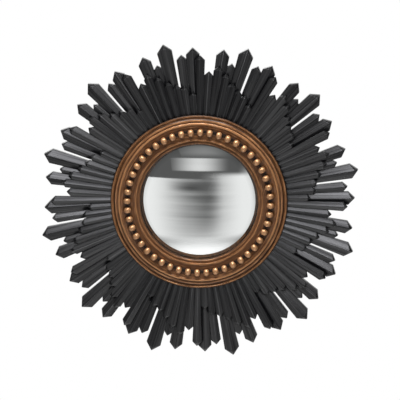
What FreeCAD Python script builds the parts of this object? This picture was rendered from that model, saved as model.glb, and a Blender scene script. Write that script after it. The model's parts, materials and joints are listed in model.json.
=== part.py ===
import FreeCAD, Part
import math
import os

# A convex mirror in a beaded gilt ring, set in two tiers of black rays that lean gently forward.
# Each piece is drawn face up on a bench: X to the right, Y up the wall, Z from the wall to the viewer.
# stand_up then hangs it: the front faces -Y, +Z is up, and the wall is the plane Y = 0.

V = FreeCAD.Vector
CENTRE = V(0, 0, 0)
ACROSS = V(1, 0, 0)
FORWARD = V(0, 0, 1)

# Fits, gaps and the overrun of every cut
glue_line = 0.1
seat_gap = 0.3
running_fit = 0.08
screw_fit = 0.05
overrun = 1.0

# Rays: lengths in mm, angles in degrees, clock angles clockwise from the top as the viewer sees them
burst_radius = 300.0
sector_count = 12
lean_angle = 8.0
tip_mitre_angle = 45.0
tip_hip_angle = 48.0
ray_gap_angle = 0.08
back_ray_wall = 8.0
back_roof_angle = 18.0
front_ray_wall = 4.0
front_roof_angle = 27.0
front_first_angle = 1.0
# One sector of the back tier: clock angle, width angle, tip radius as a share of burst_radius
back_ray_shares = (
    (9.40, 5.00, 0.960),
    (13.45, 3.10, 0.885),
    (17.75, 5.50, 1.000),
    (23.45, 3.90, 0.920),
    (28.00, 5.20, 0.960),
)
# One sector of the front tier: tip radii, evenly spaced round the clock
front_tip_shares = (0.915, 0.820, 0.855, 0.820, 0.773, 0.743, 0.727, 0.687)

# Gilt ring: a turned moulding with a lip over the ray ends and a foot that stands on the spacer
opening_radius = 109.0
moulding_width = 54.5
moulding_relief = 9.4
lip_width = 5.5
foot_width = 25.0
rebate_depth = 4.3
ring_radius = opening_radius + moulding_width
rebate_radius = opening_radius + lip_width
foot_radius = rebate_radius + foot_width
# Moulding outline: share of the width from the opening outwards, share of the relief above the lip
inner_lip_shares = ((0.000, 0.20), (0.016, 0.42), (0.055, 0.50))
inner_fillet_shares = ((0.122, 0.46), (0.129, 0.78), (0.168, 0.78), (0.177, 0.62))
bead_bed_share = 0.50
outer_fillet_shares = ((0.672, 0.76), (0.682, 1.00), (0.722, 1.00), (0.734, 0.74), (0.752, 0.70))
ovolo_shares = ((0.835, 0.72), (0.893, 0.36))
outer_groove_shares = ((0.906, 0.30), (0.928, 0.31))
outer_lip_shares = ((0.962, 0.57), (1.000, 0.36))

# Beads in the ring's channel
bead_count = 48
bead_first_angle = 1.6
bead_radius = 7.0
bead_flank_share = 0.82
bead_setback = 23.4
bead_stand = 6.14
bead_gap = 0.2
bead_circle_radius = opening_radius + bead_setback

# Spacer ring that carries the front rays, hub that carries the back rays, and the hub's wall bumpers
spacer_margin = 3.5
ray_seat_width = 45.0
hub_thickness = 9.0
hub_edge_chamfer = 5.0
bumper_radius = 9.0
bumper_height = 6.0
bumper_edge = 1.2
bumper_margin = 3.0
bumper_count = 4
spacer_radius = ring_radius + spacer_margin
hub_radius = spacer_radius + ray_seat_width
bumper_circle_radius = hub_radius - hub_edge_chamfer - bumper_margin - bumper_radius

# Convex glass and what holds it from behind
dome_radius = 420.0
glass_thickness = 3.0
glass_edge_gap = 0.6
gasket_thickness = 1.4
gasket_setback = 0.8
packing_width = 10.0
panel_ledge = 7.5
panel_thickness = 3.0
panel_gap = 0.5
panel_radius = rebate_radius + panel_ledge
panel_rebate = panel_radius + panel_gap

# Turn buttons over the back panel, each on its own screw
button_count = 6
button_first_angle = 30.0
button_setback = 8.5
button_circle_radius = panel_rebate + button_setback
button_reach = 20.0
button_half_width = 5.5
button_thickness = 1.2
button_tip_half_width = 3.6
button_screw_radius = 1.5
button_screw_length = 10.0

# Pan heads of the small screws, and the cross recess of every screw
pan_head_radius = 3.1
pan_head_height = 1.3
recess_width = 0.8
recess_depth = 0.7
recess_span_share = 0.6
screw_point_share = 2.0

# Countersunk screws that draw the gilt ring onto the spacer and hub
frame_screw_count = 6
frame_screw_radius = 2.0
frame_screw_head_radius = 4.0
frame_screw_head_height = 2.4
frame_screw_bite = 9.0
frame_screw_margin = 3.5
frame_screw_circle_radius = panel_rebate + frame_screw_margin + frame_screw_head_radius

# Strap hanger above the panel, and its swinging ring of round wire
strap_clearance = 19.5
strap_width = 14.0
strap_length = 44.0
strap_thickness = 1.0
strap_screw_radius = 1.6
strap_screw_length = 9.0
strap_screw_spacing = 9.0
strap_screw_count = 2
strap_root_share = 0.6
hanger_height = panel_rebate + strap_clearance + strap_length
wire_radius = 1.2
loop_half_width = 14.0
loop_corner_radius = 3.0
loop_side_length = 6.0

# Levels above the wall, worked out from the sizes
lean = math.radians(lean_angle)
rise_rate = math.tan(lean)
hub_back = bumper_height
hub_front = hub_back + hub_thickness
panel_front = hub_back + panel_thickness
covered_radius = burst_radius * max(front_tip_shares)
widest_back_angle = max(row[1] for row in back_ray_shares)
covered_ridge = (covered_radius * math.tan(math.radians(widest_back_angle) / 2)
                 * math.tan(math.radians(back_roof_angle)))
front_count = sector_count * len(front_tip_shares)
front_pitch_angle = 360.0 / front_count
back_ray_height = back_ray_wall + covered_ridge
back_root_radius = spacer_radius + seat_gap + back_ray_height * math.sin(lean)
front_level = hub_front + glue_line + (back_ray_height + seat_gap) / math.cos(lean)
front_ridge_at_ring = front_ray_wall + (ring_radius * math.tan(math.radians(front_pitch_angle) / 2)
                                        * math.tan(math.radians(front_roof_angle)))
front_root_radius = foot_radius + seat_gap + front_ridge_at_ring * math.sin(lean)
foot_bottom = front_level + (front_root_radius - spacer_radius) * rise_rate
lip_seat = foot_bottom + rebate_depth
lip_bottom = (front_level + glue_line + (ring_radius - spacer_radius) * rise_rate
              + front_ridge_at_ring / math.cos(lean) + seat_gap)
bed_level = lip_bottom + bead_bed_share * moulding_relief
bead_level = bed_level + bead_stand
glass_radius = rebate_radius - glass_edge_gap
dome_centre = lip_seat - gasket_thickness - math.sqrt(dome_radius ** 2 - opening_radius ** 2)
knuckle_bore = wire_radius + running_fit
knuckle_level = hub_back - strap_thickness - seat_gap - wire_radius


def at(radius, height):
    """A point of a turned outline, in the plane Y = 0."""
    return V(radius, 0, height)


def turned(start, *steps):
    """Turn a closed outline about the mirror's axis. A step is a point, or an arc as (middle, end)."""
    edges = []
    here = start
    for step in steps + (start,):
        if isinstance(step[0], tuple):
            middle, end = step
            edges.append(Part.Arc(at(*here), at(*middle), at(*end)).toShape())
        else:
            end = step
            edges.append(Part.makeLine(at(*here), at(*end)))
        here = end
    return Part.Face(Part.Wire(edges)).revolve(CENTRE, FORWARD, 360)


def clocked(shape, angle):
    """A copy of a shape drawn at the top of the clock, turned clockwise by an angle in degrees."""
    copy = shape.copy()
    copy.rotate(CENTRE, FORWARD, -angle)
    return copy


def around(shape, count, first_angle):
    """Copies of a shape drawn at the top of the clock, spaced evenly round it."""
    return [clocked(shape, first_angle + 360.0 * index / count) for index in range(count)]


def stand_up(shape):
    """Hang a piece drawn on the bench: its front turns to -Y and its top to +Z."""
    shape.rotate(CENTRE, ACROSS, 90)
    return shape


def cut_all(shape, cutters):
    """Cut several tools from a shape in one step."""
    return shape.cut(Part.makeCompound(cutters))


def ray(inner_radius, tip_radius, width_angle, wall, roof_angle, level):
    """One wedge bar at the top of the clock: flat back, upright sides, ridged roof, hipped mitred tip."""
    spread = math.tan(math.radians(width_angle - ray_gap_angle) / 2)
    mitre = math.radians(tip_mitre_angle)
    shoulder = tip_radius / (1 + spread / math.tan(mitre))
    pitch = spread * math.tan(math.radians(roof_angle))
    hip_rate = math.tan(math.radians(tip_hip_angle)) * math.sin(mitre)
    ridge_end = tip_radius * hip_rate / (hip_rate + pitch)

    def point(radius, side, height):
        return V(side * radius * spread, radius / math.cos(lean), height)

    base = [point(inner_radius, -1, 0), point(shoulder, -1, 0), point(tip_radius, 0, 0),
            point(shoulder, 1, 0), point(inner_radius, 1, 0)]
    eaves = [corner + V(0, 0, wall) for corner in base]
    root_ridge = point(inner_radius, 0, wall + inner_radius * pitch)
    tip_ridge = point(ridge_end, 0, wall + ridge_end * pitch)
    outlines = [base,
                [base[4], base[0], eaves[0], root_ridge, eaves[4]],
                [eaves[0], eaves[1], tip_ridge, root_ridge],
                [eaves[4], eaves[3], tip_ridge, root_ridge],
                [eaves[1], eaves[2], tip_ridge],
                [eaves[3], eaves[2], tip_ridge]]
    for index in range(4):
        outlines.append([base[index], base[index + 1], eaves[index + 1], eaves[index]])
    faces = [Part.Face(Part.makePolygon(outline + outline[:1])) for outline in outlines]
    bar = Part.Solid(Part.Shell(faces))
    bar.rotate(CENTRE, ACROSS, lean_angle)
    bar.translate(V(0, 0, level + glue_line - spacer_radius * rise_rate))
    return bar


def back_rays(sector):
    """The five broad and narrow bars of one sector's back tier."""
    bars = []
    for angle, width_angle, tip_share in back_ray_shares:
        bar = ray(back_root_radius, burst_radius * tip_share, width_angle,
                  back_ray_wall, back_roof_angle, hub_front)
        bars.append(clocked(bar, angle + 360.0 * sector / sector_count))
    return Part.makeCompound(bars)


def front_rays(sector):
    """The eight even bars of one sector's front tier, whose tips step down from a long first one."""
    bars = []
    first_angle = front_first_angle + 360.0 * sector / sector_count
    for index, tip_share in enumerate(front_tip_shares):
        bar = ray(front_root_radius, burst_radius * tip_share, front_pitch_angle,
                  front_ray_wall, front_roof_angle, front_level)
        bars.append(clocked(bar, first_angle + index * front_pitch_angle))
    return Part.makeCompound(bars)


def screw(radius, length, head_radius, head_height, countersunk, grow=0.0):
    """A screw along +Z with its head on Z = 0: sunk below it, or a pan standing off behind it."""
    shank = radius + grow
    head = head_radius + grow
    outline = [(0, 0), (head, 0), (shank, head_height)]
    if not countersunk:
        outline = [(0, -head_height), (head, -head_height), (head, 0), (shank, 0)]
    return turned(*outline, (shank, length - screw_point_share * radius), (0, length + grow))


def recess(head_radius, top):
    """The cross recess that a screwdriver turns, cut into a head whose outer face is at this level."""
    arm = head_radius * recess_span_share
    corner = V(-arm, -recess_width / 2, top - overrun)
    slot = Part.makeBox(2 * arm, recess_width, recess_depth + overrun, corner)
    return slot.fuse(clocked(slot, 90))


def frame_screws(grow=0.0):
    """Countersunk screws from the hub's back, through the spacer, into the foot of the gilt ring."""
    length = foot_bottom + frame_screw_bite - hub_back
    one = screw(frame_screw_radius, length, frame_screw_head_radius, frame_screw_head_height, True, grow)
    if not grow:
        one = one.cut(recess(frame_screw_head_radius, 0))
    one.translate(V(0, frame_screw_circle_radius, hub_back))
    return around(one, frame_screw_count, 0)


def button_screws(grow=0.0):
    """Pan head screws that the turn buttons swing on."""
    one = screw(button_screw_radius, button_screw_length, pan_head_radius, pan_head_height, False, grow)
    if not grow:
        one = one.cut(recess(pan_head_radius, -pan_head_height))
    one.translate(V(0, button_circle_radius, hub_back - button_thickness - 2 * seat_gap))
    return around(one, button_count, button_first_angle)


def strap_screws(grow=0.0):
    """Pan head screws that hold the strap hanger."""
    one = screw(strap_screw_radius, strap_screw_length, pan_head_radius, pan_head_height, False, grow)
    if not grow:
        one = one.cut(recess(pan_head_radius, -pan_head_height))
    lowest = hanger_height - strap_length + strap_width / 2
    one.translate(V(0, lowest, hub_back - strap_thickness))
    return [one.translated(V(0, index * strap_screw_spacing, 0)) for index in range(strap_screw_count)]


def ray_hub():
    """Turned hub: flat back with a rebate for the back panel, coned seat for the back rays."""
    rim_level = hub_front + ray_seat_width * rise_rate
    hub = turned((rebate_radius, panel_front), (panel_rebate, panel_front), (panel_rebate, hub_back),
                 (hub_radius - hub_edge_chamfer, hub_back), (hub_radius, hub_back + hub_edge_chamfer),
                 (hub_radius, rim_level), (spacer_radius, hub_front), (rebate_radius, hub_front))
    return cut_all(hub, frame_screws(screw_fit) + button_screws(screw_fit) + strap_screws(screw_fit))


def spacer_ring():
    """Ring between hub and gilt ring, coned outside its ledge as a seat for the front rays."""
    ring = turned((rebate_radius, hub_front), (spacer_radius, hub_front), (spacer_radius, front_level),
                  (front_root_radius, foot_bottom), (rebate_radius, foot_bottom))
    return cut_all(ring, frame_screws(screw_fit))


def moulding_point(shares):
    """A point of the moulding from its shares of the width and of the relief."""
    across_share, up_share = shares
    return (opening_radius + across_share * moulding_width, lip_bottom + up_share * moulding_relief)


def gilt_ring():
    """The turned moulding round the glass, with a round bed for the beads."""
    bed_radius = bead_radius + bead_gap
    bed_half_width = math.sqrt(bed_radius ** 2 - bead_stand ** 2)
    lip_start, lip_middle, lip_end = [moulding_point(shares) for shares in inner_lip_shares]
    ovolo_middle, ovolo_end = [moulding_point(shares) for shares in ovolo_shares]
    rim_middle, rim_end = [moulding_point(shares) for shares in outer_lip_shares]
    bed_start = (bead_circle_radius - bed_half_width, bed_level)
    bed_middle = (bead_circle_radius, bead_level - bed_radius)
    bed_end = (bead_circle_radius + bed_half_width, bed_level)
    ring = turned((opening_radius, lip_seat), lip_start, (lip_middle, lip_end),
                  *[moulding_point(shares) for shares in inner_fillet_shares],
                  bed_start, (bed_middle, bed_end),
                  *[moulding_point(shares) for shares in outer_fillet_shares],
                  (ovolo_middle, ovolo_end),
                  *[moulding_point(shares) for shares in outer_groove_shares],
                  (rim_middle, rim_end),
                  (ring_radius, lip_bottom), (foot_radius, lip_bottom), (foot_radius, foot_bottom),
                  (rebate_radius, foot_bottom), (rebate_radius, lip_seat))
    return cut_all(ring, frame_screws(screw_fit))


def beads():
    """Balls glued in the ring's bed, flattened on the two flanks that face their neighbours."""
    centre = V(0, bead_circle_radius, bead_level)
    flank_angle = math.degrees(math.asin(bead_flank_share))
    bead = Part.makeSphere(bead_radius, centre, ACROSS, -flank_angle, flank_angle, 360)
    return Part.makeCompound(around(bead, bead_count, bead_first_angle))


def dome_level(radius, depth):
    """Height of the glass at a radius, at a depth below its front face."""
    return dome_centre + math.sqrt((dome_radius - depth) ** 2 - radius ** 2)


def dome_arc(start_radius, end_radius, depth):
    """The middle and end of an arc that follows the glass between two radii."""
    middle_radius = (start_radius + end_radius) / 2
    return ((middle_radius, dome_level(middle_radius, depth)), (end_radius, dome_level(end_radius, depth)))


def mirror_glass():
    """Silvered glass of even thickness, domed towards the viewer."""
    return turned((0, dome_level(0, 0)), dome_arc(0, glass_radius, 0),
                  (glass_radius, dome_level(glass_radius, glass_thickness)),
                  dome_arc(glass_radius, 0, glass_thickness))


def glass_gasket():
    """Soft ring between the lip of the gilt ring and the rim of the glass."""
    inner_radius = opening_radius + gasket_setback
    return turned((inner_radius, lip_seat), (glass_radius, lip_seat),
                  (glass_radius, dome_level(glass_radius, -glue_line)),
                  dome_arc(glass_radius, inner_radius, -glue_line))


def packing_ring():
    """Card ring that presses the rim of the glass forward against its gasket."""
    inner_radius = glass_radius - packing_width
    depth = glass_thickness + glue_line
    return turned((inner_radius, panel_front), (glass_radius, panel_front),
                  (glass_radius, dome_level(glass_radius, depth)),
                  dome_arc(glass_radius, inner_radius, depth))


def back_panel():
    """Hardboard disc in the rebate of the hub."""
    return Part.makeCylinder(panel_radius, panel_thickness, V(0, 0, hub_back))


def turn_button():
    """Stamped tongue that swings on its screw: round about the screw, narrower at the tip."""
    tip_y = button_tip_half_width - button_reach
    taper = (button_half_width - button_tip_half_width) / -tip_y
    side = math.sqrt(1 - taper ** 2)

    def tangent(radius, y, hand):
        return V(hand * radius * side, y + radius * -taper, 0)

    corners = [tangent(button_half_width, 0, 1), tangent(button_half_width, 0, -1),
               tangent(button_tip_half_width, tip_y, -1), tangent(button_tip_half_width, tip_y, 1)]
    edges = [Part.Arc(corners[0], V(0, button_half_width, 0), corners[1]).toShape(),
             Part.makeLine(corners[1], corners[2]),
             Part.Arc(corners[2], V(0, -button_reach, 0), corners[3]).toShape(),
             Part.makeLine(corners[3], corners[0])]
    tongue = Part.Face(Part.Wire(edges)).extrude(V(0, 0, button_thickness))
    hole_length = button_thickness + 2 * overrun
    hole = Part.makeCylinder(button_screw_radius + running_fit, hole_length, V(0, 0, -overrun))
    tongue = tongue.cut(hole)
    tongue.translate(V(0, button_circle_radius, hub_back - seat_gap - button_thickness))
    return tongue


def hanger_strap():
    """Steel strap on the back of the hub, rolled at its top end into a knuckle for the wire ring."""
    half = strap_width / 2
    top = hanger_height - strap_root_share * knuckle_bore
    bottom = hanger_height - strap_length
    edges = [Part.makeLine(V(half, top, 0), V(-half, top, 0)),
             Part.makeLine(V(-half, top, 0), V(-half, bottom + half, 0)),
             Part.Arc(V(-half, bottom + half, 0), V(0, bottom, 0), V(half, bottom + half, 0)).toShape(),
             Part.makeLine(V(half, bottom + half, 0), V(half, top, 0))]
    strap = Part.Face(Part.Wire(edges)).extrude(V(0, 0, strap_thickness))
    strap.translate(V(0, 0, hub_back - strap_thickness))
    knuckle_start = V(-half, hanger_height, knuckle_level)
    knuckle = Part.makeCylinder(knuckle_bore + strap_thickness, strap_width, knuckle_start, ACROSS)
    bore_start = knuckle_start - ACROSS * overrun
    bore = Part.makeCylinder(knuckle_bore, strap_width + 2 * overrun, bore_start, ACROSS)
    return cut_all(strap.fuse(knuckle), [bore] + strap_screws(screw_fit)).removeSplitter()


def hanger_ring():
    """Ring of round wire, hanging down from its straight bar in the knuckle."""
    straight = loop_half_width - loop_corner_radius
    side_end = -loop_corner_radius - loop_side_length
    corner_turn = loop_corner_radius * math.sqrt(0.5)

    def corner(hand):
        return V(hand * (straight + corner_turn), corner_turn - loop_corner_radius, 0)

    path = [Part.makeLine(V(-straight, 0, 0), V(straight, 0, 0)),
            Part.Arc(V(straight, 0, 0), corner(1), V(loop_half_width, -loop_corner_radius, 0)).toShape(),
            Part.makeLine(V(loop_half_width, -loop_corner_radius, 0), V(loop_half_width, side_end, 0)),
            Part.Arc(V(loop_half_width, side_end, 0), V(0, side_end - loop_half_width, 0),
                     V(-loop_half_width, side_end, 0)).toShape(),
            Part.makeLine(V(-loop_half_width, side_end, 0), V(-loop_half_width, -loop_corner_radius, 0)),
            Part.Arc(V(-loop_half_width, -loop_corner_radius, 0), corner(-1), V(-straight, 0, 0)).toShape()]
    section = Part.Wire(Part.makeCircle(wire_radius, V(-straight, 0, 0), ACROSS))
    ring = Part.Wire(path).makePipeShell([section], True, False)
    ring.translate(V(0, hanger_height, knuckle_level))
    return ring


def wall_bumpers():
    """Rubber pads that keep the back off the wall."""
    pad = turned((0, 0), (bumper_radius - bumper_edge, 0), (bumper_radius, bumper_edge),
                 (bumper_radius, bumper_height), (0, bumper_height))
    pad.translate(V(0, bumper_circle_radius, 0))
    return Part.makeCompound(around(pad, bumper_count, 180.0 / bumper_count))


def all_pieces():
    """Every node of the mirror, by name, as drawn on the bench."""
    pieces = {"ray_hub": ray_hub(), "spacer_ring": spacer_ring(), "gilt_ring": gilt_ring(),
              "beads": beads(), "mirror_glass": mirror_glass(), "glass_gasket": glass_gasket(),
              "packing_ring": packing_ring(), "back_panel": back_panel(),
              "hanger_strap": hanger_strap(), "hanger_ring": hanger_ring(),
              "wall_bumpers": wall_bumpers(), "frame_screws": Part.makeCompound(frame_screws()),
              "button_screws": Part.makeCompound(button_screws()),
              "strap_screws": Part.makeCompound(strap_screws())}
    for sector in range(sector_count):
        pieces[f"back_rays_{sector + 1:02d}"] = back_rays(sector)
        pieces[f"front_rays_{sector + 1:02d}"] = front_rays(sector)
    for index, button in enumerate(around(turn_button(), button_count, button_first_angle)):
        pieces[f"turn_button_{index + 1}"] = button
    return pieces


os.makedirs("parts", exist_ok=True)
for name, piece in all_pieces().items():
    stand_up(piece).exportStep(f"parts/{name}.step")
    print(name, "solids", len(piece.Solids), "valid", piece.isValid(), "volume", round(piece.Volume))
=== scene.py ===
# %% [markdown]
# # Dressing a sunburst mirror
# The CAD model gives every piece of this mirror its size and its place. This lesson adds what the eye
# looks for: edges softened by hand, grain under black lacquer, rubbed gilding, silvered glass, plain
# hardware on the back, and the light of a small studio. The frame is loaded first, and its box is kept.

# %% Load the frame
import bpy
import bmesh
import json
import math
from mathutils import Matrix, Quaternion, Vector, noise

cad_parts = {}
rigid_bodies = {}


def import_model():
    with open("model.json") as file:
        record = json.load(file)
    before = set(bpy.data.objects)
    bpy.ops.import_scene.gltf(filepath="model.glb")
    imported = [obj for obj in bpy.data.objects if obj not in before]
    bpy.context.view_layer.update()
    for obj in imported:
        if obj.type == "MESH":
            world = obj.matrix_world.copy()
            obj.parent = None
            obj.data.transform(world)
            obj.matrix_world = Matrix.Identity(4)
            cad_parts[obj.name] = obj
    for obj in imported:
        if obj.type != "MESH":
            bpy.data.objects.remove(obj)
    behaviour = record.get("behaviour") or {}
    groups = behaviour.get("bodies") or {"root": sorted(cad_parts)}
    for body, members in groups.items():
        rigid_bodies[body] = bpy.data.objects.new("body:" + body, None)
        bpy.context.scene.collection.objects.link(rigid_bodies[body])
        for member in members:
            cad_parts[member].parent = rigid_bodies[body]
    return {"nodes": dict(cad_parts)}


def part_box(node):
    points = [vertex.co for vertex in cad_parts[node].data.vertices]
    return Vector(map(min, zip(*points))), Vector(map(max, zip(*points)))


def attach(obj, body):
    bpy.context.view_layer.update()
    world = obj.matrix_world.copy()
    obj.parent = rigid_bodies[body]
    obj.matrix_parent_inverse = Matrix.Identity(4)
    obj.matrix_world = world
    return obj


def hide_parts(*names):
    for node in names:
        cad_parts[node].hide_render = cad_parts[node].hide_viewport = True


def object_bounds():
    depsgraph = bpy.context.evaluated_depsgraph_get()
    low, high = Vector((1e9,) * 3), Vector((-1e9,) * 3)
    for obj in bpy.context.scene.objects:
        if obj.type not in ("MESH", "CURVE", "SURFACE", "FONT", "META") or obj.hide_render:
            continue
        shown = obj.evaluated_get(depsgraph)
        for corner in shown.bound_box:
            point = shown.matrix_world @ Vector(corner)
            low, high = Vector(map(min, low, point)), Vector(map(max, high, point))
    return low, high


for leftover in list(bpy.data.objects):
    bpy.data.objects.remove(leftover)
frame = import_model()
cad_box = [list(corner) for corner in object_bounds()]
mm = 0.001

# %% [markdown]
# ## Camera
# The ring of ray tips is a circle that the lens sees as a slightly flattened ellipse, and its flattening
# gives the camera's height above the mirror's axis. The camera could be placed by eye, but then every
# comparison with the photo would drift. So its angles, distance and focal length are named values, and a
# small lens shift puts the middle of the ray tips on the pixel where the photo has it.

# %% Place the camera
photo_pixels = 400
view_elevation = math.radians(12.4)
view_azimuth = math.radians(3.0)
view_roll = math.radians(-0.37)
view_distance = 3.124
focal_pixels = 1690
tip_plane_depth = 36 * mm
target_pixel = (198.85, 202.4)

lens = bpy.data.cameras.new("photo_camera")
lens.lens = lens.sensor_width * focal_pixels / photo_pixels
lens.shift_x = 0.5 - target_pixel[0] / photo_pixels
lens.shift_y = target_pixel[1] / photo_pixels - 0.5
camera = bpy.data.objects.new("photo_camera", lens)
bpy.context.scene.collection.objects.link(camera)
to_camera = Vector((math.sin(view_azimuth) * math.cos(view_elevation),
                    -math.cos(view_azimuth) * math.cos(view_elevation), math.sin(view_elevation)))
camera.location = Vector((0, -tip_plane_depth, 0)) + to_camera * view_distance
level_view = to_camera.to_track_quat("Z", "Y")
camera.rotation_euler = (level_view @ Quaternion((0, 0, 1), view_roll)).to_euler()
bpy.context.scene.camera = camera
bpy.context.scene.view_settings.view_transform = "Standard"
print("lens", round(lens.lens, 1), "mm, camera at", [round(value, 3) for value in camera.location])

# %% [markdown]
# ## Colours and nodes
# Paint and wood colours are easy to name as the hex values that a screen shows, but a renderer works with
# linear light, so one function turns the first into the second. Materials are built from nodes, and one
# more function adds a node with its settings, and sets or links its inputs. That keeps each finish below
# as a short list of what the real surface has.

# %% Helpers for materials
mix_a, mix_b, mix_result = 6, 7, 2


def linear(hex_colour):
    """An sRGB hex colour as linear red, green, blue and alpha."""
    channels = [int(hex_colour[start:start + 2], 16) / 255 for start in (1, 3, 5)]
    return [c / 12.92 if c <= 0.04045 else ((c + 0.055) / 1.055) ** 2.4 for c in channels] + [1.0]


def feed(tree, node, inputs):
    """Set each input of a node, or link it where the value is another node's output."""
    for name, value in inputs.items():
        if isinstance(value, bpy.types.NodeSocket):
            tree.links.new(value, node.inputs[name])
        else:
            node.inputs[name].default_value = value


def add_node(tree, kind, inputs, **settings):
    """Add a node with its settings and its inputs."""
    node = tree.nodes.new(kind)
    for name, value in settings.items():
        setattr(node, name, value)
    feed(tree, node, inputs)
    return node


def new_material(name):
    """An empty finish: the material, its node tree and its Principled shader."""
    material = bpy.data.materials.new(name)
    material.use_nodes = True
    tree = material.node_tree
    return material, tree, tree.nodes["Principled BSDF"]


print("middle grey is", round(linear("#808080")[0], 3), "in linear light")

# %% [markdown]
# ## Black lacquered wood
# The rays are strips of softwood with a thin satin black lacquer that still shows the grain as fine
# ridges along each strip. A flat black would look like plastic. So noise is stretched along the strip:
# a fine one lifts the surface and roughens it, a broad one changes its tone, and both together change how
# strongly it shines. The real grain is under a millimetre wide, finer than a pixel of the photo, so it is
# drawn about twice as wide. The strips carry their own coordinates in an attribute called grain, and an
# attribute called edge marks their arrises, where lacquer is thin and in places rubbed grey. That grey is
# also a painted highlight, which lightens the arrises as if they caught the light.

# %% Finish: black lacquer
def black_lacquer():
    """Satin black lacquer over grained softwood."""
    grain_length, grain_width = 400 * mm, 1.6 * mm
    streak_length, streak_width = 160 * mm, 6 * mm
    material, tree, shader = new_material("satin_black_lacquer")
    grain = add_node(tree, "ShaderNodeAttribute", {}, attribute_name="grain")
    edge = add_node(tree, "ShaderNodeAttribute", {}, attribute_name="edge")
    fine_place = add_node(tree, "ShaderNodeVectorMath", {
        0: grain.outputs["Vector"], 1: (1 / grain_length, 1 / grain_width, 1 / grain_width)},
        operation="MULTIPLY")
    fine = add_node(tree, "ShaderNodeTexNoise", {
        "Vector": fine_place.outputs[0], "Scale": 1.0, "Detail": 3.0})
    broad_place = add_node(tree, "ShaderNodeVectorMath", {
        0: grain.outputs["Vector"], 1: (1 / streak_length, 1 / streak_width, 1 / streak_width)},
        operation="MULTIPLY")
    broad = add_node(tree, "ShaderNodeTexNoise", {"Vector": broad_place.outputs[0], "Scale": 1.0})
    tone = add_node(tree, "ShaderNodeMix", {
        0: broad.outputs["Fac"], mix_a: linear("#08080a"), mix_b: linear("#161618")}, data_type="RGBA")
    chance = add_node(tree, "ShaderNodeMapRange", {
        "Value": fine.outputs["Fac"], "From Min": 0.5, "From Max": 0.7})
    # Rubbed lacquer and painted highlight: the grey on the arrises is worn lacquer and also stands for light
    # they catch
    rubbed_and_highlit = add_node(tree, "ShaderNodeMath", {
        0: edge.outputs["Fac"], 1: chance.outputs["Result"]}, operation="MULTIPLY")
    colour = add_node(tree, "ShaderNodeMix", {
        0: rubbed_and_highlit.outputs[0], mix_a: tone.outputs[mix_result], mix_b: linear("#6a6a6a")}, data_type="RGBA")
    gloss = add_node(tree, "ShaderNodeMapRange", {
        "Value": fine.outputs["Fac"], "To Min": 0.22, "To Max": 0.36})
    streaks = add_node(tree, "ShaderNodeMath", {0: broad.outputs["Fac"], 1: fine.outputs["Fac"]})
    shine = add_node(tree, "ShaderNodeMapRange", {
        "Value": streaks.outputs[0], "From Min": 0.75, "From Max": 1.25, "To Min": 0.25, "To Max": 0.75})
    bump = add_node(tree, "ShaderNodeBump", {
        "Height": fine.outputs["Fac"], "Strength": 0.2, "Distance": 0.3 * mm})
    feed(tree, shader, {"Base Color": colour.outputs[mix_result], "Roughness": gloss.outputs["Result"],
                        "Specular IOR Level": shine.outputs["Result"], "Normal": bump.outputs["Normal"],
                        "IOR": 1.5})
    return material


lacquer = black_lacquer()
print("made", lacquer.name)
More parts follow.
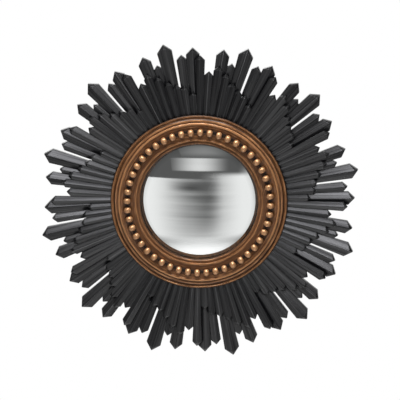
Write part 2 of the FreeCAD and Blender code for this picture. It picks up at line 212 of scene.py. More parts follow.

# %% [markdown]
# ## Rubbed gilding
# The ring is turned wood under gesso, covered in bronze gold, toned with a brown glaze and varnished. The
# glaze was wiped off the crests and stays in the hollows, and the deepest hollows also hold old dirt and
# painted shade. So the crests are metal, the slopes umber and the hollows nearly black, and one metal
# colour would miss that. An attribute called crest says how far a rag reached each point, below zero
# where dirt and painted shade collect. Streaks along the moulding and patches of wear break it up, and the
# result blends colour, metal and gloss together. The varnish is the shader's coat, which gives the crests
# pale, pinkish highlights.

# %% Finish: rubbed gilding
def rubbed_gilding(name, gold, glaze, dirt_and_shade, most_metal, varnish):
    """Bronze gold on gesso, glazed brown, rubbed back on its crests and varnished."""
    streak_length, streak_width = 30 * mm, 1.5 * mm
    patch_size = 6 * mm
    material, tree, shader = new_material(name)
    crest = add_node(tree, "ShaderNodeAttribute", {}, attribute_name="crest")
    grain = add_node(tree, "ShaderNodeAttribute", {}, attribute_name="grain")
    streak_place = add_node(tree, "ShaderNodeVectorMath", {
        0: grain.outputs["Vector"], 1: (1 / streak_length, 1 / streak_width, 1 / streak_width)},
        operation="MULTIPLY")
    streak_noise = add_node(tree, "ShaderNodeTexNoise", {
        "Vector": streak_place.outputs[0], "Scale": 1.0, "Detail": 4.0})
    streaks = add_node(tree, "ShaderNodeMapRange", {
        "Value": streak_noise.outputs["Fac"], "From Min": 0.3, "From Max": 0.7,
        "To Min": 0.1, "To Max": 0.9})
    patches = add_node(tree, "ShaderNodeTexNoise", {
        "Vector": grain.outputs["Vector"], "Scale": 1 / patch_size, "Detail": 5.0, "Roughness": 0.7})
    broken = add_node(tree, "ShaderNodeMath", {
        0: streaks.outputs["Result"], 1: patches.outputs["Fac"]}, operation="ADD")
    lifted = add_node(tree, "ShaderNodeMath", {
        0: crest.outputs["Fac"], 1: broken.outputs[0]}, operation="ADD")
    rubbed = add_node(tree, "ShaderNodeMapRange", {
        "Value": lifted.outputs[0], "From Min": 1.0, "From Max": 1.9}, interpolation_type="SMOOTHSTEP")
    # Dirt and painted shade: the hollows are darkened to near black, for dirt and for the shade that falls in
    # them
    soiled_and_shaded = add_node(tree, "ShaderNodeMapRange", {
        "Value": lifted.outputs[0], "From Min": 1.0, "From Max": 0.2}, interpolation_type="SMOOTHSTEP")
    wiped = add_node(tree, "ShaderNodeMix", {
        0: rubbed.outputs["Result"], mix_a: linear(glaze), mix_b: linear(gold)}, data_type="RGBA")
    colour = add_node(tree, "ShaderNodeMix", {
        0: soiled_and_shaded.outputs["Result"], mix_a: wiped.outputs[mix_result], mix_b: linear(dirt_and_shade)},
        data_type="RGBA")
    metal = add_node(tree, "ShaderNodeMapRange", {
        "Value": rubbed.outputs["Result"], "To Min": 0.2, "To Max": most_metal})
    gloss = add_node(tree, "ShaderNodeMapRange", {
        "Value": rubbed.outputs["Result"], "To Min": 0.55, "To Max": 0.38})
    coat = add_node(tree, "ShaderNodeMapRange", {
        "Value": rubbed.outputs["Result"], "To Min": 0.35 * varnish, "To Max": varnish})
    bump = add_node(tree, "ShaderNodeBump", {
        "Height": broken.outputs[0], "Strength": 0.3, "Distance": 0.3 * mm})
    feed(tree, shader, {"Base Color": colour.outputs[mix_result], "Metallic": metal.outputs["Result"],
                        "Roughness": gloss.outputs["Result"], "Normal": bump.outputs["Normal"],
                        "Specular IOR Level": 0.2, "Coat Weight": coat.outputs["Result"],
                        "Coat Roughness": 0.15})
    return material


# The third colour of each finish is dirt and painted shade, for the hollows and the foot of each bead
ring_gilding = rubbed_gilding("rubbed_bronze_gilding", "#d49a67", "#704725", "#241509", 0.85, 1.0)
bead_gilding = rubbed_gilding("rubbed_bead_gilding", "#c49367", "#754a29", "#120b06", 0.6, 0.6)
print("made", ring_gilding.name, "and", bead_gilding.name)

# %% [markdown]
# ## Silvered glass
# The mirror is a slumped sheet of glass with silver on its back. A full glass shader over a silver plate
# would cost many bounces for the same picture, so the whole piece is a bright metal, nearly smooth, and a
# faint long ripple stands for the slumping. The silver is painted a little greyer towards its rim, as
# painted shade where the lip darkens the glass's edge.

# %% Finish: silvered glass
def silvered_glass():
    """Mirror silver seen through slumped glass."""
    ripple_size = 70 * mm
    unshaded_radius, full_shade_radius = 96 * mm, 112 * mm
    material, tree, shader = new_material("silvered_glass_front")
    place = add_node(tree, "ShaderNodeTexCoord", {})
    ripple = add_node(tree, "ShaderNodeTexNoise", {
        "Vector": place.outputs["Object"], "Scale": 1 / ripple_size, "Detail": 1.0})
    bump = add_node(tree, "ShaderNodeBump", {
        "Height": ripple.outputs["Fac"], "Strength": 0.12, "Distance": 0.4 * mm})
    flat_place = add_node(tree, "ShaderNodeVectorMath", {
        0: place.outputs["Object"], 1: (1, 0, 1)}, operation="MULTIPLY")
    radius = add_node(tree, "ShaderNodeVectorMath", {0: flat_place.outputs[0]}, operation="LENGTH")
    # Painted shade: the silver greys towards its rim, where the lip shades the glass's edge
    rim_shade = add_node(tree, "ShaderNodeMapRange", {
        "Value": radius.outputs["Value"], "From Min": unshaded_radius, "From Max": full_shade_radius})
    colour = add_node(tree, "ShaderNodeMix", {
        0: rim_shade.outputs["Result"], mix_a: linear("#f2f4f3"), mix_b: linear("#c9ccca")}, data_type="RGBA")
    feed(tree, shader, {"Base Color": colour.outputs[mix_result], "Metallic": 1.0, "Roughness": 0.03,
                        "Normal": bump.outputs["Normal"]})
    return material


silver = silvered_glass()
print("made", silver.name)

# %% [markdown]
# ## Birch plywood
# The hub is birch plywood, seen only from behind. Its plies show as thin bands on the turned edge, and
# its face has long pale figure. The front and the rim were sprayed black with the rays, and some of the
# spray drifted round onto the back. The plies follow the depth from the wall, and the spray follows the
# way that the surface faces, so both work on any cut of the wood.

# %% Finish: plywood with overspray
def sprayed_plywood():
    """Birch plywood, lacquered black on the side that faces the room."""
    ply_thickness = 1.3 * mm
    figure_length, figure_width = 220 * mm, 7 * mm
    drift_size = 25 * mm
    material, tree, shader = new_material("sprayed_birch_plywood")
    place = add_node(tree, "ShaderNodeTexCoord", {})
    axes = add_node(tree, "ShaderNodeSeparateXYZ", {"Vector": place.outputs["Object"]})
    facing = add_node(tree, "ShaderNodeSeparateXYZ", {"Vector": place.outputs["Normal"]})
    ply = add_node(tree, "ShaderNodeMath", {
        0: axes.outputs["Y"], 1: 2 * ply_thickness}, operation="PINGPONG")
    band = add_node(tree, "ShaderNodeMapRange", {
        "Value": ply.outputs[0], "From Min": 0.8 * ply_thickness, "From Max": 1.2 * ply_thickness})
    figure_place = add_node(tree, "ShaderNodeVectorMath", {
        0: place.outputs["Object"], 1: (1 / figure_width, 1 / ply_thickness, 1 / figure_length)},
        operation="MULTIPLY")
    figure = add_node(tree, "ShaderNodeTexNoise", {
        "Vector": figure_place.outputs[0], "Scale": 1.0, "Detail": 5.0, "Distortion": 0.6})
    face = add_node(tree, "ShaderNodeMix", {
        0: figure.outputs["Fac"], mix_a: linear("#d9bd94"), mix_b: linear("#b8935f")}, data_type="RGBA")
    wood = add_node(tree, "ShaderNodeMix", {
        0: band.outputs["Result"], mix_a: face.outputs[mix_result], mix_b: linear("#9a7447")},
        data_type="RGBA")
    drift = add_node(tree, "ShaderNodeTexNoise", {"Vector": place.outputs["Object"], "Scale": 1 / drift_size})
    turned_away = add_node(tree, "ShaderNodeMath", {
        0: facing.outputs["Y"], 1: drift.outputs["Fac"]}, operation="SUBTRACT")
    spray = add_node(tree, "ShaderNodeMapRange", {
        "Value": turned_away.outputs[0], "From Min": 0.35, "From Max": -0.05})
    colour = add_node(tree, "ShaderNodeMix", {
        0: spray.outputs["Result"], mix_a: wood.outputs[mix_result], mix_b: linear("#161617")},
        data_type="RGBA")
    gloss = add_node(tree, "ShaderNodeMapRange", {
        "Value": figure.outputs["Fac"], "To Min": 0.5, "To Max": 0.65})
    bump = add_node(tree, "ShaderNodeBump", {
        "Height": figure.outputs["Fac"], "Strength": 0.2, "Distance": 0.2 * mm})
    feed(tree, shader, {"Base Color": colour.outputs[mix_result], "Roughness": gloss.outputs["Result"],
                        "Normal": bump.outputs["Normal"], "IOR": 1.5})
    return material


plywood = sprayed_plywood()
print("made", plywood.name)

# %% [markdown]
# ## Boards and soft rings behind the glass
# The back panel is tempered hardboard: brown wood fibre pressed into a smooth sheet with a leathery
# fleck. The gasket is black felt and the packing ring grey card. The three are one recipe with different
# fibres: two colours blended by a fleck of the right size, and a bump of the same fleck.

# %% Finish: pressed fibres
def pressed_fibre(name, dark, pale, fibre_size, roughness, sheen):
    """A sheet of pressed fibres, flecked at the size of its fibres."""
    material, tree, shader = new_material(name)
    place = add_node(tree, "ShaderNodeTexCoord", {})
    fleck = add_node(tree, "ShaderNodeTexNoise", {
        "Vector": place.outputs["Object"], "Scale": 1 / fibre_size, "Detail": 6.0, "Distortion": 1.5})
    contrast = add_node(tree, "ShaderNodeMapRange", {
        "Value": fleck.outputs["Fac"], "From Min": 0.3, "From Max": 0.7})
    colour = add_node(tree, "ShaderNodeMix", {
        0: contrast.outputs["Result"], mix_a: linear(dark), mix_b: linear(pale)}, data_type="RGBA")
    bump = add_node(tree, "ShaderNodeBump", {
        "Height": fleck.outputs["Fac"], "Strength": 0.4, "Distance": 0.1 * fibre_size})
    feed(tree, shader, {"Base Color": colour.outputs[mix_result], "Roughness": roughness,
                        "Sheen Weight": sheen, "Normal": bump.outputs["Normal"], "IOR": 1.5})
    return material


hardboard = pressed_fibre("tempered_hardboard", "#5a3c25", "#83603f", 3 * mm, 0.48, 0.0)
felt = pressed_fibre("black_wool_felt", "#0d0d0e", "#1d1d1f", 0.8 * mm, 0.95, 0.3)
card = pressed_fibre("grey_packing_card", "#85796a", "#a79b8a", 1.2 * mm, 0.85, 0.0)
print("made", hardboard.name, felt.name, card.name)

# %% [markdown]
# ## Plated steel and rubber
# Strap, wire ring, turn buttons and screws are mild steel with bright zinc plating, which is a fine
# crystal bloom with a few cloudy patches. The bumpers are moulded rubber with a dry, dusty bloom. The zinc
# gets its unevenness in the gloss as well as in the colour, and the rubber in its colour and its bump,
# because that is where small hardware shows that it is real.

# %% Finishes: zinc plate and rubber
def zinc_plate():
    """Bright zinc plating on pressed steel."""
    bloom_size, cloud_size = 0.6 * mm, 7 * mm
    material, tree, shader = new_material("bright_zinc_plate")
    place = add_node(tree, "ShaderNodeTexCoord", {})
    bloom = add_node(tree, "ShaderNodeTexVoronoi", {
        "Vector": place.outputs["Object"], "Scale": 1 / bloom_size})
    cloud = add_node(tree, "ShaderNodeTexNoise", {
        "Vector": place.outputs["Object"], "Scale": 1 / cloud_size, "Detail": 4.0})
    colour = add_node(tree, "ShaderNodeMix", {
        0: cloud.outputs["Fac"], mix_a: linear("#9fa2a4"), mix_b: linear("#d3d4d1")}, data_type="RGBA")
    gloss = add_node(tree, "ShaderNodeMapRange", {
        "Value": cloud.outputs["Fac"], "To Min": 0.22, "To Max": 0.45})
    bump = add_node(tree, "ShaderNodeBump", {
        "Height": bloom.outputs["Distance"], "Strength": 0.08, "Distance": 0.05 * mm})
    feed(tree, shader, {"Base Color": colour.outputs[mix_result], "Metallic": 1.0,
                        "Roughness": gloss.outputs["Result"], "Normal": bump.outputs["Normal"]})
    return material


zinc = zinc_plate()
rubber = pressed_fibre("moulded_rubber", "#232324", "#34343a", 2 * mm, 0.7, 0.1)
print("made", zinc.name, rubber.name)

# %% [markdown]
# ## Pieces from solids
# A CAD solid arrives as flat facets that don't share their corners. To soften an edge, its faces first
# have to be joined again. One helper reads a node into an editable mesh and welds it, and another makes
# a finished piece, which rides with the mirror and takes the node's place.

# %% Helpers for pieces
weld_distance = 0.005 * mm


def welded(node):
    """A node's mesh, ready for editing, with its corners joined."""
    solid = bmesh.new()
    solid.from_mesh(frame["nodes"][node].data)
    bmesh.ops.remove_doubles(solid, verts=solid.verts, dist=weld_distance)
    return solid


def make_piece(name, form, material, node):
    """Turn an edited mesh into a piece of the mirror that stands for a CAD node."""
    mesh = bpy.data.meshes.new(name)
    form.to_mesh(mesh)
    form.free()
    mesh.materials.append(material)
    mesh.shade_smooth()
    piece = bpy.data.objects.new(name, mesh)
    bpy.context.scene.collection.objects.link(piece)
    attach(piece, "mirror")
    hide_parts(node)
    return piece


hub_form = welded("ray_hub")
print("the hub welds to", len(hub_form.verts), "corners")
hub_form.free()

# %% [markdown]
# ## Rays
# Each ray is a planed strip with a ridged roof and a mitred tip, and a real one has no knife edge: sanding
# and lacquer round its arrises by half a millimetre or so, and the plane leaves long, shallow waves. A
# bevel modifier would round the edges, but it couldn't say where they are. So the solids are copied, their
# flat faces made whole, their arrises rounded and marked, and their long faces divided and lowered a
# little by slow noise. No two strips lie quite alike in their glue, so each is turned a few degrees about
# its length, and lacquer fills the joints between them.

# %% Soften and plane the rays
arris_round = 0.8 * mm
arris_segments = 2
flat_angle = math.radians(1.0)
sharp_angle = math.radians(8.0)
long_edge = 40 * mm
long_cuts = 7
plane_wave = 120 * mm
plane_depth = 0.22 * mm
strip_twist = math.radians(5.0)
twist_seed, grain_seed = 70, 10
joint_fill = 0.2 * mm


def ray_islands(form):
    """The separate strips of a node, as lists of corners."""
    met = set()
    for first in form.verts:
        if first in met:
            continue
        met.add(first)
        strip = [first]
        for corner in strip:
            for side in corner.link_edges:
                other = side.other_vert(corner)
                if other not in met:
                    met.add(other)
                    strip.append(other)
        yield strip


def soften_rays(node):
    """One node's rays with rounded arrises, planed faces and coordinates along their grain."""
    form = welded(node)
    bmesh.ops.dissolve_limit(form, angle_limit=flat_angle, verts=form.verts, edges=form.edges)
    sharp = [side for side in form.edges if side.calc_face_angle(0.0) > sharp_angle]
    rounded = bmesh.ops.bevel(form, geom=sharp, offset=arris_round, segments=arris_segments,
                              profile=0.5, affect="EDGES", clamp_overlap=True)
    arris_faces = set(rounded["faces"])
    edge = form.verts.layers.float.new("edge")
    for corner in form.verts:
        corner[edge] = float(all(face in arris_faces for face in corner.link_faces))
    long_sides = [side for side in form.edges if side.calc_length() > long_edge]
    bmesh.ops.subdivide_edges(form, edges=long_sides, cuts=long_cuts, use_grid_fill=True)
    form.normal_update()
    grain = form.verts.layers.float_vector.new("grain")
    for strip in ray_islands(form):
        middle = sum((corner.co for corner in strip), Vector()) / len(strip)
        along = Vector((middle.x, 0, middle.z)).normalized()
        across = Vector((along.z, 0, -along.x))
        seed = grain_seed * middle
        lay = Matrix.Rotation(strip_twist * noise.noise(twist_seed * middle), 3, along)
        for corner in strip:
            corner[grain] = (corner.co.dot(along), corner.co.dot(across) + seed.x, seed.z)
            wave = noise.noise(Vector(corner[grain]) / plane_wave + seed)
            corner.co.y -= corner.normal.y * plane_depth * (0.5 + 0.5 * wave)
            offset = (corner.co - middle).dot(across)
            if abs(offset) > joint_fill:
                corner.co += across * math.copysign(joint_fill, offset)
            corner.co = middle + lay @ (corner.co - middle)
    return form


ray_pieces = []
for node in sorted(node for node in frame["nodes"] if "_rays_" in node):
    rays = make_piece("lacquered_" + node, soften_rays(node), lacquer, node)
    rays.modifiers.new("keep_flats_flat", "WEIGHTED_NORMAL").weight = 90
    ray_pieces.append(rays)
print(len(ray_pieces), "groups of rays, the last with", len(rays.data.polygons), "faces")

# %% [markdown]
# ## Gilt ring
# The ring is turned on a lathe, so one outline spun round the axis makes it. The outline could be drawn
# again, but the CAD solid already holds it: a half-plane through the axis cuts the solid along exactly
# that line. Points are added close to its corners, so that smooth shading rounds them as gesso does. A rag
# rubs the two fillets, the ovolo and the rim, and dirt and painted shade stay inside the lip, under the
# beads and in the grooves, so each point learns how near it is to those lines. Slow noise then dents the
# surface a little, because gesso is laid by brush.

# %% Read the ring's outline
cut_clock = math.radians(15.0)
outline_step = 0.9 * mm
corner_round = 0.22 * mm


def outline_of(node, clock):
    """The closed line where a half-plane through the axis cuts a node, as (radius, depth) in order."""
    solid = welded(node)
    outward = Vector((math.sin(clock), 0, math.cos(clock)))
    sideways = Vector((math.cos(clock), 0, -math.sin(clock)))
    cut = bmesh.ops.bisect_plane(solid, geom=solid.verts[:] + solid.edges[:] + solid.faces[:],
                                 plane_co=(0, 0, 0), plane_no=sideways, dist=weld_distance)
    sides = [item for item in cut["geom_cut"] if isinstance(item, bmesh.types.BMEdge)
             and all(corner.co.dot(outward) > 0 for corner in item.verts)]
    neighbours = {}
    for side in sides:
        for corner in side.verts:
            neighbours.setdefault(corner, []).append(side.other_vert(corner))
    walk = [sides[0].verts[0], sides[0].verts[1]]
    while walk[-1] is not walk[0]:
        one, two = neighbours[walk[-1]]
        walk.append(two if one is walk[-2] else one)
    points = [(corner.co.dot(outward), -corner.co.y) for corner in walk[:-1]]
    solid.free()
    return points


def finer(points):
    """The same closed line with points near its corners and at even steps between them."""
    result = []
    for here, there in zip(points, points[1:] + points[:1]):
        length = math.dist(here, there)
        if length < 2 * weld_distance:
            continue
        shares = [0.0]
        if length > 3 * corner_round:
            count = math.ceil(length / outline_step)
            inner = [corner_round / length, 1 - corner_round / length]
            shares += sorted(inner + [index / count for index in range(1, count)])
        result += [(here[0] + share * (there[0] - here[0]), here[1] + share * (there[1] - here[1]))
                   for share in shares]
    return result


ring_outline = finer(outline_of("gilt_ring", cut_clock))
print("the ring's outline has", len(ring_outline), "points")

# %% Turn the ring
ring_turns = 480
gesso_dent = 0.16 * mm
gesso_size = 14 * mm
# Distance of a line from the axis in mm: how far it reaches in mm, and how clean (1) or dirty (-1) it is,
# where dirty means dirt and painted shade together
wear_and_shade_lines = {108.6: (1.6, -0.6), 111: (1.5, 0.2), 114: (1.5, -0.3), 117: (3.5, 0.5),
              122: (1.5, -0.2), 132.4: (7.0, -1.0), 139.5: (1.5, -0.4), 142: (2.5, 0.2),
              147.5: (3.5, 0.9), 150.5: (1.0, -0.9), 153.5: (2.5, 0.4), 156.5: (1.6, -0.8),
              160.3: (2.0, 0.5), 163.5: (1.5, -0.9)}


def crest_of(radius):
    """How well a rag reached this distance from the axis: -1 in a hollow of dirt and painted shade, 1 on a
    crest.
    """
    return sum(clean * max(0.0, 1 - abs(radius / mm - line) / reach)
               for line, (reach, clean) in wear_and_shade_lines.items())


def turned(outline, turns):
    """A closed outline spun round the mirror's axis, with its gilding and grain attributes."""
    form = bmesh.new()
    crest = form.verts.layers.float.new("crest")
    grain = form.verts.layers.float_vector.new("grain")
    crests = [crest_of(radius) for radius, depth in outline]
    rows = []
    for turn in range(turns):
        clock = 2 * math.pi * turn / turns
        row = []
        travelled = 0.0
        for index, (radius, depth) in enumerate(outline):
            corner = form.verts.new((radius * math.sin(clock), -depth, radius * math.cos(clock)))
            travelled += math.dist(outline[index], outline[index - 1])
            corner[crest] = crests[index]
            corner[grain] = (radius * clock, travelled, 0)
            row.append(corner)
        rows.append(row)
    for turn in range(turns):
        row, following = rows[turn], rows[(turn + 1) % turns]
        for index in range(len(outline)):
            form.faces.new((row[index - 1], row[index], following[index], following[index - 1]))
    bmesh.ops.recalc_face_normals(form, faces=form.faces)
    return form


ring_form = turned(ring_outline, ring_turns)
ring_form.normal_update()
for corner in ring_form.verts:
    dent = 0.5 + 0.5 * noise.noise(corner.co / gesso_size)
    corner.co -= corner.normal * gesso_dent * dent
ring = make_piece("gilt_moulding", ring_form, ring_gilding, "gilt_ring")
print("the ring has", len(ring.data.polygons), "faces")

# %% [markdown]
# ## Beads
# The beads are cast in composition, gilded and pressed into the ring's channel by hand, so no two are
# quite alike. Copies of one ball would look like ball bearings. Each bead here is its own ball, pressed
# flat towards its two neighbours, a little dented and a little off its pitch. Its crest value fades from
# its crown to its foot, where glaze collected and where painted shade darkens the bead against the channel.

# %% Press the beads
bead_count = 48
bead_first_clock = math.radians(1.6)
bead_radius = 7 * mm
bead_circle = 132.4 * mm
bead_flank = 0.88
flank_sharpness = 5
bead_unevenness, dent_waves = 0.05, 1.3
bead_shift, shift_step, shift_seed = 0.25 * mm, 0.37, 1
side_crest, crown_rise = 0.75, 0.6
bead_depth = -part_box("beads")[0].y - bead_radius


def press_beads():
    """All beads as one mesh, each dented in its own way."""
    form = bmesh.new()
    crest = form.verts.layers.float.new("crest")
    grain = form.verts.layers.float_vector.new("grain")
    noise.seed_set(shift_seed)  # without a seed, noise_vector starts from the clock
    for number in range(bead_count):
        clock = bead_first_clock + 2 * math.pi * number / bead_count
        seed = Vector((number, 2 * number, 0))
        place = Vector((bead_circle * math.sin(clock), -bead_depth, bead_circle * math.cos(clock)))
        along = Vector((math.cos(clock), 0, -math.sin(clock)))
        ball = bmesh.ops.create_icosphere(form, subdivisions=3, radius=bead_radius)
        shift = noise.noise_vector(seed * shift_step) * bead_shift
        for corner in ball["verts"]:
            out = corner.co.normalized()
            dent = bead_unevenness * (0.5 + 0.5 * noise.noise(out * dent_waves + seed))
            # Darker towards the foot: glaze, and painted shade where the bead meets the channel
            corner[crest] = min(1.0, side_crest - crown_rise * out.y)
            reach = out.dot(along)
            flat = (1 + abs(reach / bead_flank) ** flank_sharpness) ** (-1 / flank_sharpness)
            pressed = out + along * reach * (flat - 1)
            corner.co = place + Vector((shift.x, 0, shift.z)) + pressed * bead_radius * (1 - dent)
            corner[grain] = corner.co
    return form


beads = make_piece("gilt_beads", press_beads(), bead_gilding, "beads")
print(bead_count, "beads with", len(beads.data.polygons), "faces")

# %% [markdown]
# ## Convex glass
# A mirror shows every facet of its mesh, so the dome needs many small faces and true curvature. It is
# worked out from its real radius, ring by ring: the front of the dome, the ground edge, and the silvered
# back at the glass's thickness.

# %% Blow the glass
dome_radius = 420 * mm
glass_thickness = 3 * mm
dome_rings, dome_turns = 64, 256
ground_edge_angle = math.radians(40)
glass_low, glass_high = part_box("mirror_glass")
glass_radius = glass_high.x
dome_centre = -glass_low.y - dome_radius


def dome_line(radius_of_curve, first, last):
    """Points of an arc of the dome between two distances from the axis, as (radius, depth)."""
    line = []
    for ring_number in range(dome_rings + 1):
        radius = first + (last - first) * ring_number / dome_rings
        line.append((radius, dome_centre + math.sqrt(radius_of_curve ** 2 - radius ** 2)))
    return line


def blow_glass():
    """The domed sheet of glass: front, edge and back in one skin."""
    front = dome_line(dome_radius, 0.0, glass_radius)
    back = dome_line(dome_radius - glass_thickness, glass_radius, 0.0)
    line = front + back
    form = bmesh.new()
    rows = []
    for turn in range(dome_turns):
        clock = 2 * math.pi * turn / dome_turns
        rows.append([form.verts.new((radius * math.sin(clock), -depth, radius * math.cos(clock)))
                     for radius, depth in line])
    for turn in range(dome_turns):
        row, following = rows[turn - 1], rows[turn]
        for index in range(1, len(line)):
            form.faces.new((row[index - 1], row[index], following[index], following[index - 1]))
    bmesh.ops.remove_doubles(form, verts=form.verts, dist=weld_distance)
    bmesh.ops.recalc_face_normals(form, faces=form.faces)
    return form


glass = make_piece("convex_glass", blow_glass(), silver, "mirror_glass")
glass.data.set_sharp_from_angle(angle=ground_edge_angle)
print("the glass has", len(glass.data.polygons), "faces")

# %% [markdown]
# ## Hub, boards and hardware
# The pieces on the back keep their CAD shapes: a hub turned from plywood, a hardboard panel, and stamped
# or turned hardware. They only need their finishes and the small rounds that tools leave. Their corners
# are welded by one modifier and rounded by the next, so the CAD meshes themselves stay as they are.

# %% Finish the CAD pieces
sharpest_left = math.radians(35)


def finish_node(node, material, edge_round):
    """Give a CAD node its finish, and round its edges where edge_round isn't zero."""
    piece = frame["nodes"][node]
    for slot in piece.material_slots:
        slot.material = material
    if edge_round:
        weld = piece.modifiers.new("join_corners", "WELD")
        weld.merge_threshold = weld_distance
        bevel = piece.modifiers.new("round_edges", "BEVEL")
        bevel.width = edge_round
        bevel.segments = 2
        bevel.limit_method = "ANGLE"
        bevel.angle_limit = sharpest_left
        bevel.harden_normals = True


finish_node("ray_hub", plywood, 0.4 * mm)
finish_node("spacer_ring", plywood, 0.4 * mm)
finish_node("back_panel", hardboard, 0.3 * mm)
finish_node("glass_gasket", felt, 0)
finish_node("packing_ring", card, 0)
finish_node("wall_bumpers", rubber, 0.5 * mm)
finish_node("hanger_strap", zinc, 0.15 * mm)
finish_node("hanger_ring", zinc, 0)
for screws in ("frame_screws", "button_screws", "strap_screws"):
    finish_node(screws, zinc, 0.12 * mm)
for button in range(1, 7):
    finish_node(f"turn_button_{button}", zinc, 0.2 * mm)
print("finished the hub, the boards and the hardware")

# %% [markdown]
# ## Floor and background
# A cut-out photo has plain white all round. White walls close by would throw light into every hollow, so
# the white comes from the world instead: camera, glossy and transmitted rays see it at strength 1, and
# other rays find a softer grey that fills the shadows. The floor is a pale disc below the hanging mirror
# that keeps its shadow and fades out into the white. It also glows for the same rays, because the lower
# rays of the mirror reflect a floor that is brighter than these lamps make it.

# %% Make the floor and the world
floor_drop = 0.2
floor_radius, floor_solid = 0.55, 0.2
floor_forward = 0.25
floor_glow = 0.65
fill_strength = 0.25


def seen_directly(tree):
    """1 for camera, glossy and transmitted rays, and 0 for the rays that only carry light."""
    path = add_node(tree, "ShaderNodeLightPath", {})
    looking = add_node(tree, "ShaderNodeMath", {
        0: path.outputs["Is Camera Ray"], 1: path.outputs["Is Glossy Ray"]}, operation="MAXIMUM")
    every = add_node(tree, "ShaderNodeMath", {
        0: looking.outputs[0], 1: path.outputs["Is Transmission Ray"]}, operation="MAXIMUM")
    return every.outputs[0]


def pale_floor():
    """Matt white board that fades out towards its rim."""
    material, tree, shader = new_material("matt_white_floor")
    feed(tree, shader, {"Base Color": linear("#f4f4f2"), "Roughness": 0.9})
    place = add_node(tree, "ShaderNodeTexCoord", {})
    radius = add_node(tree, "ShaderNodeVectorMath", {0: place.outputs["Object"]}, operation="LENGTH")
    fade = add_node(tree, "ShaderNodeMapRange", {
        "Value": radius.outputs["Value"], "From Min": floor_solid, "From Max": floor_radius,
        "To Min": 1.0, "To Max": 0.0}, interpolation_type="SMOOTHSTEP")
    glow = add_node(tree, "ShaderNodeMath", {0: seen_directly(tree), 1: floor_glow}, operation="MULTIPLY")
    feed(tree, shader, {"Alpha": fade.outputs["Result"], "Emission Color": linear("#ffffff"),
                        "Emission Strength": glow.outputs[0]})
    return material


floor_form = bmesh.new()
bmesh.ops.create_circle(floor_form, cap_ends=True, segments=96, radius=floor_radius)
floor_mesh = bpy.data.meshes.new("studio_floor")
floor_form.to_mesh(floor_mesh)
floor_form.free()
floor_mesh.materials.append(pale_floor())
floor = bpy.data.objects.new("studio_floor", floor_mesh)
floor.location = (0, -floor_forward, cad_box[0][2] - floor_drop)
bpy.context.scene.collection.objects.link(floor)

world = bpy.data.worlds.new("white_studio")
bpy.context.scene.world = world
world.use_nodes = True
sky = world.node_tree
sky.nodes.clear()
strength = add_node(sky, "ShaderNodeMapRange", {
    "Value": seen_directly(sky), "To Min": fill_strength, "To Max": 1.0})
background = add_node(sky, "ShaderNodeBackground", {
    "Color": linear("#ffffff"), "Strength": strength.outputs["Result"]})
add_node(sky, "ShaderNodeOutputWorld", {"Surface": background.outputs["Background"]})
print("the floor lies", floor_drop, "m below the lowest ray")

# %% [markdown]
# ## Studio light
# In the photo the lacquer shines on facets that look forward and up, the gilding is bright on what looks
# straight up, and the glass shows no lamp at all. One large lamp can't do all of that. So a soft box in
# front, with a wide, dim one round it, lights the lacquer, a third above lights the gilding, and a fourth
# shows the back. Studios keep light off a thing with black flags, and light linking does the same here:
# the front boxes miss the glass, ring and beads, and the upper one misses the rays and the floor.

# %% Hang the soft boxes
def place_facing(thing, azimuth, elevation, distance):
    """Put a lamp or a card in front of the mirror at angles in degrees, facing its middle."""
    side, up = math.radians(azimuth), math.radians(elevation)
    direction = Vector((math.sin(side) * math.cos(up), -math.cos(side) * math.cos(up), math.sin(up)))
    thing.location = direction * distance
    thing.rotation_euler = direction.to_track_quat("Z", "Y").to_euler()
    bpy.context.scene.collection.objects.link(thing)


def soft_box(name, azimuth, elevation, distance, width, height, power):
    """A rectangular soft lamp."""
    lamp = bpy.data.lights.new(name, "AREA")
    lamp.shape = "RECTANGLE"
    lamp.size = width
    lamp.size_y = height
    lamp.energy = power
    holder = bpy.data.objects.new(name, lamp)
    holder.visible_camera = False
    place_facing(holder, azimuth, elevation, distance)
    return holder


def flag_off(lamp, pieces):
    """Keep a lamp's light off some pieces, as a black flag on a stand does."""
    flagged = bpy.data.collections.new("flagged_from_" + lamp.name)
    for index, piece in enumerate(pieces):
        flagged.objects.link(piece)
        flagged.collection_objects[index].light_linking.link_state = "EXCLUDE"
    lamp.light_linking.receiver_collection = flagged


# Name, azimuth and elevation in degrees, distance, width and height in metres, power in watts
front_light = soft_box("front_soft_box", 3, 27, 1.15, 0.45, 0.6, 5.7)
front_light.data.color = linear("#f8f8ff")[:3]
ceiling_light = soft_box("ceiling_soft_box", 0, 68, 1.3, 1.0, 0.8, 24)
wide_light = soft_box("wide_soft_box", 3, 22, 1.25, 1.2, 0.5, 1.9)
soft_box("back_soft_box", 200, 35, 1.5, 1.0, 1.0, 6)
flag_off(front_light, [glass, ring, beads])
flag_off(wide_light, [glass, ring, beads])
flag_off(ceiling_light, ray_pieces + [floor])
print("soft boxes hang in front for the lacquer, above for the gilding and behind for the back")

# %% [markdown]
# ## Cards for the reflections
# What polished glass and lacquer show besides the lamps is the room in front of them. A modelled room
# would add things that aren't part of the mirror, so plain cards stand in for it, with soft edges and some
# with faint level streaks. A dim one closes the space, pale ones stand low, at both sides and high up at
# both sides, and darker ones in the middle and above give the glass its bands. Only reflections see them.

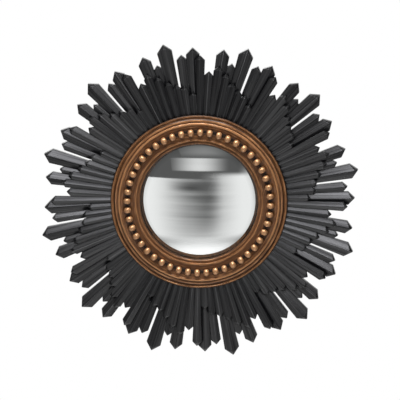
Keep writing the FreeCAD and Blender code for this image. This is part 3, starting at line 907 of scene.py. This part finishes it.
# %% Stand the cards
def card_finish(name, tone, softness, streaks):
    """A glowing card of one tone with soft edges, worked out on its own plane from -1 to 1."""
    streak_length, streak_height = 6.0, 0.3
    material, tree, shader = new_material(name)
    place = add_node(tree, "ShaderNodeTexCoord", {})
    streak_place = add_node(tree, "ShaderNodeVectorMath", {
        0: place.outputs["Object"], 1: (1 / streak_length, 1 / streak_height, 1)}, operation="MULTIPLY")
    noise_field = add_node(tree, "ShaderNodeTexNoise", {"Vector": streak_place.outputs[0], "Scale": 1.0})
    streaked = add_node(tree, "ShaderNodeMapRange", {
        "Value": noise_field.outputs["Fac"], "From Min": 0.3, "From Max": 0.7,
        "To Min": 1 - streaks, "To Max": 1.0})
    centred = add_node(tree, "ShaderNodeVectorMath", {
        0: place.outputs["Generated"], 1: (2, 2, 0), 2: (-1, -1, 0)}, operation="MULTIPLY_ADD")
    away = add_node(tree, "ShaderNodeVectorMath", {0: centred.outputs[0]}, operation="ABSOLUTE")
    axes = add_node(tree, "ShaderNodeSeparateXYZ", {"Vector": away.outputs[0]})
    fades = [add_node(tree, "ShaderNodeMapRange", {
        "Value": axes.outputs[axis], "From Min": 1 - share, "From Max": 1.0, "To Min": 1.0, "To Max": 0.0},
        interpolation_type="SMOOTHSTEP") for axis, share in zip("XY", softness)]
    faded = add_node(tree, "ShaderNodeMath", {
        0: fades[0].outputs["Result"], 1: fades[1].outputs["Result"]}, operation="MULTIPLY")
    alpha = add_node(tree, "ShaderNodeMath", {
        0: faded.outputs[0], 1: streaked.outputs["Result"]}, operation="MULTIPLY")
    feed(tree, shader, {"Base Color": linear("#000000"), "Specular IOR Level": 0.0,
                        "Alpha": alpha.outputs[0], "Emission Color": linear("#ffffff"),
                        "Emission Strength": tone})
    return material


def stand_card(name, azimuth, elevation, distance, width, height, tone, softness, streaks=0.0):
    """A card that only reflections see: no camera, shadow or bounced light finds it."""
    form = bmesh.new()
    bmesh.ops.create_grid(form, x_segments=1, y_segments=1, size=0.5,
                          matrix=Matrix.Diagonal((width, height, 1, 1)))
    mesh = bpy.data.meshes.new(name)
    form.to_mesh(mesh)
    form.free()
    mesh.materials.append(card_finish(name, tone, softness, streaks))
    thing = bpy.data.objects.new(name, mesh)
    place_facing(thing, azimuth, elevation, distance)
    thing.visible_camera = False
    thing.visible_diffuse = False
    thing.visible_shadow = False


# Name, azimuth and elevation in degrees, distance, width and height in metres, tone, soft share of the
# edges across and up, and how strong the streaks are
stand_card("dim_room_card", 0, 0, 6.0, 30.0, 18.0, 0.37, (0.1, 0.1))
stand_card("pale_door_left", -46, -2, 5.1, 3.4, 3.0, 0.95, (0.5, 0.5))
stand_card("pale_door_right", 40, -4, 5.1, 2.4, 3.0, 0.95, (0.5, 0.5))
stand_card("white_board", -4, -14, 5.0, 6.8, 4.2, 0.9, (0.15, 0.25))
stand_card("grey_middle_card", -4, -8, 4.6, 4.5, 7.7, 0.15, (1.0, 0.9), 0.3)
stand_card("dark_doorway_card", 2, -8, 4.5, 1.5, 5.0, 0.11, (1.0, 0.9), 0.5)
stand_card("dark_lintel_card", -7, -3.3, 4.45, 2.6, 0.75, 0.06, (1.0, 1.0), 0.3)
stand_card("dark_upper_card", -9, 12.6, 4.4, 7.0, 1.65, 0.1, (0.35, 0.35))
stand_card("dark_shelf_card", -18, 6.9, 4.35, 3.8, 0.92, 0.1, (0.4, 0.1))
stand_card("pale_top_card", 0, 17, 4.3, 3.2, 0.7, 0.25, (1.0, 0.8))
stand_card("bright_window_card", -3, 9.2, 4.2, 2.7, 0.58, 0.75, (1.0, 0.2), 0.1)
stand_card("white_reflector_card", -28, 30, 0.95, 0.4, 0.28, 1.3, (0.5, 0.5))
for hand, side in (("left", -1), ("right", 1)):
    stand_card("pale_wall_" + hand, side * 44, 26, 5.0, 4.0, 3.0, 1.0, (0.4, 0.4))
    stand_card("dark_flag_" + hand, side * 60, 6, 1.0, 0.9, 0.34, 0.05, (0.3, 0.3))
    stand_card("dim_side_" + hand, side * 89, 0, 8.0, 12.0, 20.0, 0.35, (0.1, 0.1))
print("the cards stand in front for the reflections")
